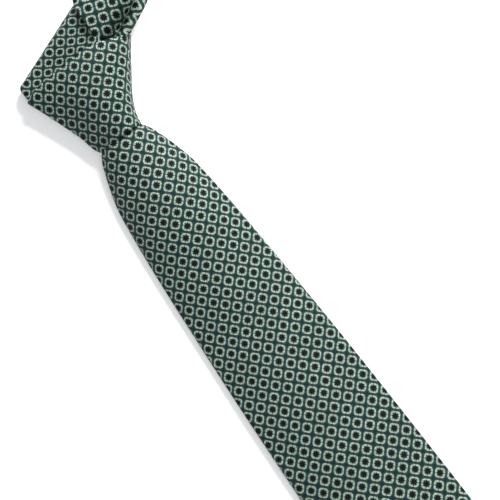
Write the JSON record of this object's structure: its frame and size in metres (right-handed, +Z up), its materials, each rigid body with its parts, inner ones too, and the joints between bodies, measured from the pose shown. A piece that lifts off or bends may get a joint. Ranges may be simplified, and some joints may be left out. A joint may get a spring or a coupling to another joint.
{
  "type": "necktie",
  "caption": "Pointed silk necktie tied in a slim asymmetric knot with its neck loop open, laid flat; the front blade lifts and the tail pulls through the knot to tighten the loop.",
  "frame": {"origin": "on the table, under the knot's flat back, a third of the knot's length up from its mouth", "axes": "+Z up out of the table, the tie's front facing +Z; -Y from the knot towards the points of the blades; +X to the right of the tie as its front is seen"},
  "size_m": [0.2449, 0.6115, 0.0354],
  "materials": {
    "silk_jacquard": "woven silk jacquard, green ground with pale grey-green squares, soft sheen",
    "wool_interlining": "brushed wool blend",
    "lining": "smooth lining twill",
    "sewing_thread": "twisted silk thread",
    "label_satin": "woven satin ribbon, blank"
  },
  "bodies": {
    "knot": {"knot_front_wrap_shell": "silk_jacquard", "knot_front_wrap_interlining": "wool_interlining", "knot_back_pass_shell": "silk_jacquard", "knot_back_pass_interlining": "wool_interlining", "knot_tongue_shell": "silk_jacquard", "knot_tongue_interlining": "wool_interlining", "knot_first_cross_shell": "silk_jacquard", "knot_first_cross_interlining": "wool_interlining", "neck_blade_leg_shell": "silk_jacquard", "neck_blade_leg_interlining": "wool_interlining", "neck_gusset_shell": "silk_jacquard", "neck_gusset_interlining": "wool_interlining", "neck_slip_stitch": "sewing_thread"},
    "front_blade": {"blade_shell": "silk_jacquard", "blade_interlining": "wool_interlining", "blade_tipping": "lining", "blade_slip_stitch": "sewing_thread", "blade_bar_tack": "sewing_thread", "keeper_loop": "silk_jacquard", "blank_label": "label_satin", "keeper_tack_left": "sewing_thread", "keeper_tack_right": "sewing_thread", "care_label": "label_satin"},
    "tail": {"tail_shell": "silk_jacquard", "tail_interlining": "wool_interlining", "tail_tipping": "lining", "tail_slip_stitch": "sewing_thread", "tail_bar_tack": "sewing_thread"},
    "tail_leg": {"neck_tail_leg_shell": "silk_jacquard", "neck_tail_leg_interlining": "wool_interlining"}
  },
  "joints": [
    {"name": "blade_lift", "type": "hinge", "parent": "knot", "child": "front_blade", "pos_m": [0, -0.018, 0.0125], "axis": [-1, 0, 0], "range_deg": [0, 100]},
    {"name": "tail_slide", "type": "slide", "parent": "knot", "child": "tail", "axis": [0, -1, 0], "range_m": [0, 0.035]},
    {"name": "neck_leg_slide", "type": "slide", "parent": "knot", "child": "tail_leg", "axis": [-0.9135, -0.4067, 0], "range_m": [0, 0.035]}
  ],
  "couplings": [
    {"joint": "neck_leg_slide", "follows": "tail_slide", "ratio": 1}
  ]
}
